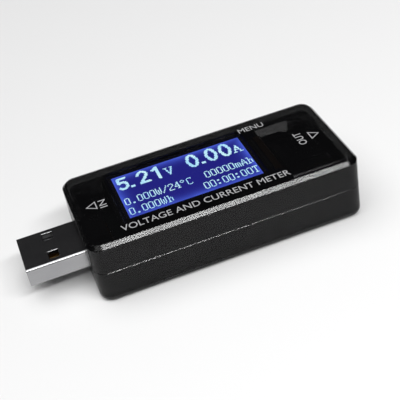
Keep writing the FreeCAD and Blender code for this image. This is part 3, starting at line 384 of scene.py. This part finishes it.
# Field colour that brightens towards the window's border, as side-lit guides do.
def makeDisplayGlow():
    material, nodes, links, shader = startMaterial("displayField")
    low, high = viewBox()
    place = nodes.new("ShaderNodeTexCoord")
    parts = nodes.new("ShaderNodeSeparateXYZ")
    links.new(place.outputs["Object"], parts.inputs["Vector"])

    # 0 inside, rising to 1 at the border on this axis.
    def edgeNearness(axis, centre, half, edge):
        away = nodes.new("ShaderNodeMath")
        away.operation = "SUBTRACT"
        away.inputs[1].default_value = centre
        links.new(parts.outputs[axis], away.inputs[0])
        size = nodes.new("ShaderNodeMath")
        size.operation = "ABSOLUTE"
        links.new(away.outputs[0], size.inputs[0])
        ramp = nodes.new("ShaderNodeMapRange")
        ramp.inputs["From Min"].default_value = half - edge
        ramp.inputs["From Max"].default_value = half
        links.new(size.outputs[0], ramp.inputs["Value"])
        return ramp.outputs["Result"]

    centre = (low + high) / 2
    across = edgeNearness("X", centre.x, (high.x - low.x) / 2, display["edgeWidth"])
    along = edgeNearness("Y", centre.y, (high.y - low.y) / 2, display["edgeWidth"])
    either = nodes.new("ShaderNodeMath")
    either.operation = "MAXIMUM"
    links.new(across, either.inputs[0])
    links.new(along, either.inputs[1])
    steep = nodes.new("ShaderNodeMath")
    steep.operation = "POWER"
    steep.inputs[1].default_value = display["edgePower"]
    links.new(either.outputs[0], steep.inputs[0])
    cloud = grain(nodes, links, display["edgeClouds"], detail=display["cloudDetail"])
    softened = nodes.new("ShaderNodeMath")
    softened.operation = "MULTIPLY"
    links.new(steep.outputs[0], softened.inputs[0])
    links.new(spread(nodes, links, cloud, *display["edgeCloudRange"]), softened.inputs[1])
    mix = nodes.new("ShaderNodeMix")
    mix.data_type = "RGBA"
    mix.inputs[6].default_value = display["field"]
    mix.inputs[7].default_value = display["fieldEdge"]
    links.new(softened.outputs[0], mix.inputs[0])
    shader.inputs["Base Color"].default_value = display["fieldUnlit"]
    shader.inputs["Roughness"].default_value = display["fieldRoughness"]
    links.new(mix.outputs[2], shader.inputs["Emission Color"])
    shader.inputs["Emission Strength"].default_value = display["fieldGlow"]
    return material


# Lit dots, a little bluer in patches.
def makeDotGlow():
    material, nodes, links, shader = startMaterial("displayDots")
    cloud = grain(nodes, links, display["dotClouds"], detail=display["cloudDetail"])
    mix = nodes.new("ShaderNodeMix")
    mix.data_type = "RGBA"
    mix.inputs[6].default_value = display["dot"]
    mix.inputs[7].default_value = display["dotPatch"]
    links.new(spread(nodes, links, cloud, 0.0, 1.0), mix.inputs[0])
    shader.inputs["Base Color"].default_value = display["dotUnlit"]
    shader.inputs["Roughness"].default_value = display["dotRoughness"]
    links.new(mix.outputs[2], shader.inputs["Emission Color"])
    shader.inputs["Emission Strength"].default_value = display["dotGlow"]
    return material


# The lit area of the display, centred in the front polarizer.
def viewBox():
    low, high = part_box("front_polarizer")
    middle = (low + high) / 2
    half = Vector((display["viewLength"] / 2, display["viewWidth"] / 2, 0))
    return (Vector((middle.x, middle.y, low.z)) - half,
            Vector((middle.x, middle.y, high.z)) + half)


# One flat block at each lit cell.
def dotTree():
    tree, source, result = newTree("litDot")
    lengthInput = addSize(tree, "Dot Length", defaultSize)
    widthInput = addSize(tree, "Dot Width", defaultSize)
    heightInput = addSize(tree, "Dot Height", display["dotHeight"])
    cube = tree.nodes.new("GeometryNodeMeshCube")
    size = tree.nodes.new("ShaderNodeCombineXYZ")
    for name, socket in (("Dot Length", "X"), ("Dot Width", "Y"), ("Dot Height", "Z")):
        tree.links.new(source.outputs[name], size.inputs[socket])
    tree.links.new(size.outputs["Vector"], cube.inputs["Size"])
    place = tree.nodes.new("GeometryNodeInstanceOnPoints")
    tree.links.new(source.outputs["Geometry"], place.inputs["Points"])
    tree.links.new(cube.outputs["Mesh"], place.inputs["Instance"])
    finishTree(tree, place.outputs["Instances"], result, "displayDots")
    return tree, (lengthInput, widthInput, heightInput)


def makeDisplay():
    materials["displayField"] = makeDisplayGlow()
    materials["displayDots"] = makeDotGlow()
    low, high = viewBox()
    field = addPiece("displayField", meshFrom("displayField", lambda bm: addBlock(bm, low, high)),
                     "displayField")
    outerLow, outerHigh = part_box("front_polarizer")

    def buildMask(bm):
        addBlock(bm, outerLow, (low.x, outerHigh.y, outerHigh.z))
        addBlock(bm, (high.x, outerLow.y, outerLow.z), outerHigh)
        addBlock(bm, (low.x, outerLow.y, outerLow.z), (high.x, low.y, outerHigh.z))
        addBlock(bm, (low.x, high.y, outerLow.z), (high.x, outerHigh.y, outerHigh.z))

    mask = addPiece("displayBorder", meshFrom("displayBorder", buildMask), "displayMask")
    for piece in (field, mask):
        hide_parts("front_polarizer")
    pitchAcross = (high.x - low.x) / display["columns"]
    pitchUp = (high.y - low.y) / display["rows"]
    cells = litDots()
    points = [(low.x + (column + 0.5) * pitchAcross, high.y - (row + 0.5) * pitchUp,
               high.z + display["dotHeight"]) for column, row in cells]
    tree, sockets = dotTree()
    sizes = dict(zip(sockets, (pitchAcross * display["fill"], pitchUp * display["fill"],
                               display["dotHeight"])))
    grown("displayDots", points, tree, sizes, "displayDots")
    print("display: dots lit", len(cells))


makeDisplay()


wallTint = {
    "inset": 0.14 * mm, "thickness": 0.16 * mm, "cornerRadius": 3.0 * mm,
    "bevelInset": 0.93 * mm, "bevelStart": 14.06 * mm, "bevelEnd": 14.84 * mm,
    "low": 1.5 * mm,
    "underOpenings": 2.4 * mm, "overOpenings": 11.3 * mm,   # heights that the openings lie between
    "plugOpening": 6.7 * mm, "socketOpening": 7.6 * mm,     # half widths
    "keyGap": (16.4 * mm, 24.6 * mm),                       # along the rear wall
}


# Outline of the case at an inset: four rounded corners in one loop, from the front left one.
def caseOutline(inset, steps=8):
    halfLength = caseHigh.x - inset
    halfWidth = caseHigh.y - inset
    radius = wallTint["cornerRadius"] - inset
    points = []
    for signX, signY, start in ((-1, -1, 180), (1, -1, 270), (1, 1, 0), (-1, 1, 90)):
        centre = (signX * (halfLength - radius), signY * (halfWidth - radius))
        for step in range(steps + 1):
            turn = math.radians(start + 90 * step / steps)
            points.append((centre[0] + radius * math.cos(turn), centre[1] + radius * math.sin(turn)))
    return points


# A thin standing wall between two matching lines of points, closed all round.
def addWall(bm, outer, inner, low, high, loop, outerTop=None, innerTop=None):
    rings = [(bm.verts.new((*out, low)), bm.verts.new((*outTop, high)),
              bm.verts.new((*inTop, high)), bm.verts.new((*into, low)))
             for out, outTop, inTop, into in zip(outer, outerTop or outer, innerTop or inner, inner)]
    pairs = list(zip(rings, rings[1:] + rings[:1])) if loop else list(zip(rings, rings[1:]))
    for first, second in pairs:
        for side in range(4):
            following = (side + 1) % 4
            bm.faces.new((first[side], first[following], second[following], second[side]))
    if not loop:
        bm.faces.new(rings[0])
        bm.faces.new(tuple(reversed(rings[-1])))


# The plastic darkens where light runs along a wall: a dark layer inside it stands for that.
def makeWallTint():
    outer = caseOutline(wallTint["inset"])
    inner = caseOutline(wallTint["inset"] + wallTint["thickness"])
    half = len(outer) // 2
    leftOuter, rightOuter = outer[0][0], outer[half][0]
    leftInner, rightInner = inner[0][0], inner[half][0]
    rearOuter = max(point[1] for point in outer)
    rearInner = max(point[1] for point in inner)
    plugHalf, socketHalf = wallTint["plugOpening"], wallTint["socketOpening"]
    keyLeft, keyRight = wallTint["keyGap"]
    front = ([(leftOuter, -plugHalf)] + outer[:half] + [(rightOuter, -socketHalf)],
             [(leftInner, -plugHalf)] + inner[:half] + [(rightInner, -socketHalf)])
    quarter = half + half // 2
    rearRight = ([(rightOuter, socketHalf)] + outer[half:quarter] + [(keyRight, rearOuter)],
                 [(rightInner, socketHalf)] + inner[half:quarter] + [(keyRight, rearInner)])
    rearLeft = ([(keyLeft, rearOuter)] + outer[quarter:] + [(leftOuter, plugHalf)],
                [(keyLeft, rearInner)] + inner[quarter:] + [(leftInner, plugHalf)])
    under, over = wallTint["underOpenings"], wallTint["overOpenings"]

    def build(bm):
        addWall(bm, outer, inner, wallTint["low"], under, True)
        addWall(bm, outer, inner, over, wallTint["bevelStart"], True)
        bevelOuter = caseOutline(wallTint["bevelInset"])
        bevelInner = caseOutline(wallTint["bevelInset"] + wallTint["thickness"])
        addWall(bm, outer, inner, wallTint["bevelStart"], wallTint["bevelEnd"], True,
                bevelOuter, bevelInner)
        for line in (front, rearRight, rearLeft):
            addWall(bm, line[0], line[1], under, over, False)

    addPiece("wallTint", meshFrom("wallTint", build), "wallTint")
    print("wall tint ready")


makeWallTint()


marks = {
    "rise": 0.006 * mm,        # top of the ink above the case
    "sink": 0.010 * mm,        # how far it reaches into the case
    "title": {"words": "VOLTAGE AND CURRENT METER", "left": -22.2, "right": 15.3,
              "low": -11.15, "capHeight": 1.95},
    "menu": {"words": "MENU", "left": 11.4, "right": 17.4, "low": 9.1, "capHeight": 1.7},
    "input": {"words": "IN", "across": -22.75, "low": -1.1, "high": 1.7, "capHeight": 1.6},
    "output": {"words": "OUT", "across": 23.1, "low": -2.5, "high": 2.4, "capHeight": 1.75},
    "inputArrow": {"base": -24.9, "tip": -27.3, "low": -0.95, "high": 1.95},
    "outputArrow": {"base": 24.5, "tip": 26.8, "low": -1.6, "high": 1.4},
    "arrowLine": 0.22,
    "curveSteps": 6, "mergeWithin": 0.0005 * mm,
}


# Block capitals as a flat mesh, stretched to a length and height, from the origin.
def wordMesh(words, length, capHeight):
    curve = bpy.data.curves.new(words, "FONT")
    curve.body = words
    curve.resolution_u = marks["curveSteps"]
    holder = bpy.data.objects.new(words, curve)
    scene.collection.objects.link(holder)
    depsgraph = bpy.context.evaluated_depsgraph_get()
    mesh = bpy.data.meshes.new_from_object(holder.evaluated_get(depsgraph))
    bpy.data.objects.remove(holder)
    xs = [v.co.x for v in mesh.vertices]
    ys = [v.co.y for v in mesh.vertices]
    low = Vector((min(xs), min(ys), 0))
    mesh.transform(Matrix.Translation(-low))
    scale = (length / (max(xs) - low.x), capHeight / (max(ys) - low.y), 1, 1)
    mesh.transform(Matrix.Diagonal(scale))
    return mesh


# Give a flat mesh at z 0 the ink's thickness, and lay it on the case's top.
def inked(name, mesh):
    bm = bmesh.new()
    bm.from_mesh(mesh)
    bmesh.ops.remove_doubles(bm, verts=bm.verts, dist=marks["mergeWithin"])
    for vertex in bm.verts:
        vertex.co.z = 0
    bmesh.ops.recalc_face_normals(bm, faces=bm.faces)
    for face in bm.faces:
        if face.normal.z < 0:
            face.normal_flip()
    lifted = bmesh.ops.extrude_face_region(bm, geom=bm.faces[:])
    for element in lifted["geom"]:
        if isinstance(element, bmesh.types.BMVert):
            element.co.z = marks["rise"] + marks["sink"]
    bmesh.ops.translate(bm, verts=bm.verts, vec=(0, 0, topFace - marks["sink"]))
    bmesh.ops.recalc_face_normals(bm, faces=bm.faces)
    bm.to_mesh(mesh)
    bm.free()
    return addPiece(name, mesh, "silkInk")


# A word or title that reads along the case.
def makeLine(name, spec):
    length = (spec["right"] - spec["left"]) * mm
    mesh = wordMesh(spec["words"], length, spec["capHeight"] * mm)
    mesh.transform(Matrix.Translation((spec["left"] * mm, spec["low"] * mm, 0)))
    inked(name, mesh)


# A word that reads towards the rear, with its capitals' tops towards the plug.
def makeTurnedWord(name, spec):
    length = (spec["high"] - spec["low"]) * mm
    mesh = wordMesh(spec["words"], length, spec["capHeight"] * mm)
    mesh.transform(Matrix.Rotation(math.radians(90), 4, "Z"))
    mesh.transform(Matrix.Translation((spec["across"] * mm, spec["low"] * mm, 0)))
    inked(name, mesh)


# An outlined triangle that points along the case.
def makeArrow(name, spec):
    line = marks["arrowLine"] * mm
    corners = [Vector((spec["base"] * mm, spec["low"] * mm, 0)),
               Vector((spec["tip"] * mm, (spec["low"] + spec["high"]) / 2 * mm, 0)),
               Vector((spec["base"] * mm, spec["high"] * mm, 0))]
    sides = [(corners[(i + 1) % 3] - corners[i]).length for i in (1, 2, 0)]  # opposite each corner
    centre = sum((side * corner for side, corner in zip(sides, corners)), Vector()) / sum(sides)
    area = (corners[1] - corners[0]).cross(corners[2] - corners[0]).length / 2
    inRadius = 2 * area / sum(sides)
    shrink = (inRadius - line) / inRadius

    def build(bm):
        outer = [bm.verts.new(corner) for corner in corners]
        inner = [bm.verts.new(centre + (corner - centre) * shrink) for corner in corners]
        for i in range(3):
            following = (i + 1) % 3
            bm.faces.new((outer[i], outer[following], inner[following], inner[i]))

    inked(name, meshFrom(name, build))


def makeMarks():
    makeLine("titleMark", marks["title"])
    makeLine("menuMark", marks["menu"])
    makeTurnedWord("inputMark", marks["input"])
    makeTurnedWord("outputMark", marks["output"])
    makeArrow("inputArrow", marks["inputArrow"])
    makeArrow("outputArrow", marks["outputArrow"])
    print("printed marks ready")


makeMarks()


solderJoints = {
    "footLength": 0.7 * mm,
    "sideways": (-3.5 * mm, -1.0 * mm, 1.0 * mm, 3.5 * mm),   # places of the four contacts
    "baseRadius": 0.56 * mm, "topRadius": 0.24 * mm, "height": 0.26 * mm, "sides": 20,
}


# One low cone at each foot.
def solderTree():
    tree, source, result = newTree("solderJoint")
    names = (("Base Radius", "Radius Bottom"), ("Top Radius", "Radius Top"), ("Height", "Depth"))
    sizes = [addSize(tree, name, defaultSize) for name, _ in names]
    cone = tree.nodes.new("GeometryNodeMeshCone")
    cone.inputs["Vertices"].default_value = solderJoints["sides"]
    for name, socket in names:
        tree.links.new(source.outputs[name], cone.inputs[socket])
    place = tree.nodes.new("GeometryNodeInstanceOnPoints")
    tree.links.new(source.outputs["Geometry"], place.inputs["Points"])
    tree.links.new(cone.outputs["Mesh"], place.inputs["Instance"])
    finishTree(tree, place.outputs["Instances"], result, "solder")
    return tree, sizes


# One solder joint at the foot of each of the eight contacts.
def makeSolderJoints():
    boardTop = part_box("circuit_board")[1].z
    halfFoot = solderJoints["footLength"] / 2
    feet = (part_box("plug_contacts")[1].x - halfFoot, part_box("socket_contacts")[0].x + halfFoot)
    points = [(x, y, boardTop) for x in feet for y in solderJoints["sideways"]]
    tree, sockets = solderTree()
    sizes = dict(zip(sockets, (solderJoints["baseRadius"], solderJoints["topRadius"],
                               solderJoints["height"])))
    grown("solderJoints", points, tree, sizes, "solder")
    print("solder joints:", len(points))


makeSolderJoints()


snapDome = {
    "sheet": 0.06 * mm, "rings": 8, "sides": 40,
    "pressedShare": 0.12,      # what is left of its depth when the key is fully in
}


# The dome behind the plunger is a thin sprung sheet that goes flat under it; here it is built in its
# resting shape.
def makeSnapDome():
    low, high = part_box("switch_dome")
    middle = (low + high) / 2
    radius = (high.x - low.x) / 2
    rise = high.y - low.y - snapDome["sheet"]

    def line(base):
        return [(radius * step / snapDome["rings"],
                 base + rise * math.cos(math.pi / 2 * step / snapDome["rings"]))
                for step in range(snapDome["rings"] + 1)]

    profile = line(low.y + snapDome["sheet"]) + list(reversed(line(low.y)))

    def build(bm):
        rings = []
        for reach, y in profile:
            if reach == 0:
                rings.append([bm.verts.new((middle.x, y, middle.z))])
                continue
            turns = [2 * math.pi * side / snapDome["sides"] for side in range(snapDome["sides"])]
            rings.append([bm.verts.new((middle.x + reach * math.cos(turn), y,
                                        middle.z + reach * math.sin(turn))) for turn in turns])
        for first, second in zip(rings, rings[1:]):
            for side in range(snapDome["sides"]):
                following = (side + 1) % snapDome["sides"]
                corners = [first[side % len(first)], first[following % len(first)],
                           second[following % len(second)], second[side % len(second)]]
                bm.faces.new(list(dict.fromkeys(corners)))
        for face in bm.faces:
            face.smooth = True

    dome = addPiece("snapDome", meshFrom("snapDome", build), "tinned")
    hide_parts("switch_dome")
    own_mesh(dome)
    print("snap dome ready")


makeSnapDome()


studio = {
    "floorSize": 8.0, "floorColor": (0.79, 0.79, 0.79, 1.0),
    "floorGrain": 60, "floorRoughness": (0.85, 0.95), "floorShine": 0.2,
    "worldColor": (0.022, 0.022, 0.023, 1.0), "worldStrength": 1.0,
    "strip": {"direction": (0.165, -0.607, 0.777), "distance": 0.60, "aim": (0, 0, 0.01),
              "size": (0.46, 0.075), "power": 2.5},
    "sky": {"direction": (-0.22, 0.0, 0.97), "spread": 70, "strength": 2.2},
}
view = {
    "place": (-0.03928, -0.16459, 0.13382), "aim": (-0.00304, -0.00057, 0.0075),
    "roll": -11.24, "lens": 85.8, "shift": (0.002, 0.007),
    "sensorWidth": 36, "nearest": 0.01,
}


def makeFloor():
    half = studio["floorSize"] / 2

    def build(bm):
        signs = ((-1, -1), (1, -1), (1, 1), (-1, 1))
        bm.faces.new([bm.verts.new((x * half, y * half, 0)) for x, y in signs])

    mesh = meshFrom("floor", build)
    floor = bpy.data.objects.new("floor", mesh)
    scene.collection.objects.link(floor)
    material, nodes, links, shader = startMaterial("floorPaper")
    shader.inputs["Base Color"].default_value = studio["floorColor"]
    fine = grain(nodes, links, studio["floorGrain"])
    links.new(spread(nodes, links, fine, *studio["floorRoughness"]), shader.inputs["Roughness"])
    shader.inputs["Specular IOR Level"].default_value = studio["floorShine"]
    mesh.materials.append(material)


# Point a camera or a light's -Z at a place, turned about its own axis by roll.
def aimed(thing, place, aim, roll=0.0):
    away = (Vector(place) - Vector(aim)).normalized()
    side = Vector((0, 0, 1)).cross(away).normalized()
    up = away.cross(side)
    turn = Matrix((side, up, away)).transposed() @ Matrix.Rotation(math.radians(roll), 3, "Z")
    thing.matrix_world = Matrix.Translation(place) @ turn.to_4x4()


def makeLight(name, spec):
    lamp = bpy.data.lights.new(name, "AREA")
    lamp.shape = "RECTANGLE"
    lamp.size, lamp.size_y = spec["size"]
    lamp.energy = spec["power"]
    light = bpy.data.objects.new(name, lamp)
    scene.collection.objects.link(light)
    aimed(light, Vector(spec["direction"]).normalized() * spec["distance"], spec["aim"])


# Even light from one wide patch of sky, alike over the whole floor.
def makeSky(name, spec):
    lamp = bpy.data.lights.new(name, "SUN")
    lamp.energy = spec["strength"]
    lamp.angle = math.radians(spec["spread"])
    light = bpy.data.objects.new(name, lamp)
    scene.collection.objects.link(light)
    aimed(light, Vector(spec["direction"]).normalized(), (0, 0, 0))


def makeStage():
    makeFloor()
    world = bpy.data.worlds.new("studio")
    world.use_nodes = True
    background = world.node_tree.nodes["Background"]
    background.inputs["Color"].default_value = studio["worldColor"]
    background.inputs["Strength"].default_value = studio["worldStrength"]
    scene.world = world
    makeLight("stripLight", studio["strip"])
    makeSky("skyLight", studio["sky"])
    camera = bpy.data.objects.new("camera", bpy.data.cameras.new("camera"))
    camera.data.lens = view["lens"]
    camera.data.shift_x, camera.data.shift_y = view["shift"]
    camera.data.sensor_width = view["sensorWidth"]
    camera.data.clip_start = view["nearest"]
    scene.collection.objects.link(camera)
    aimed(camera, view["place"], view["aim"], view["roll"])
    scene.camera = camera
    scene.view_settings.view_transform = "Standard"
    print("stage ready")


makeStage()
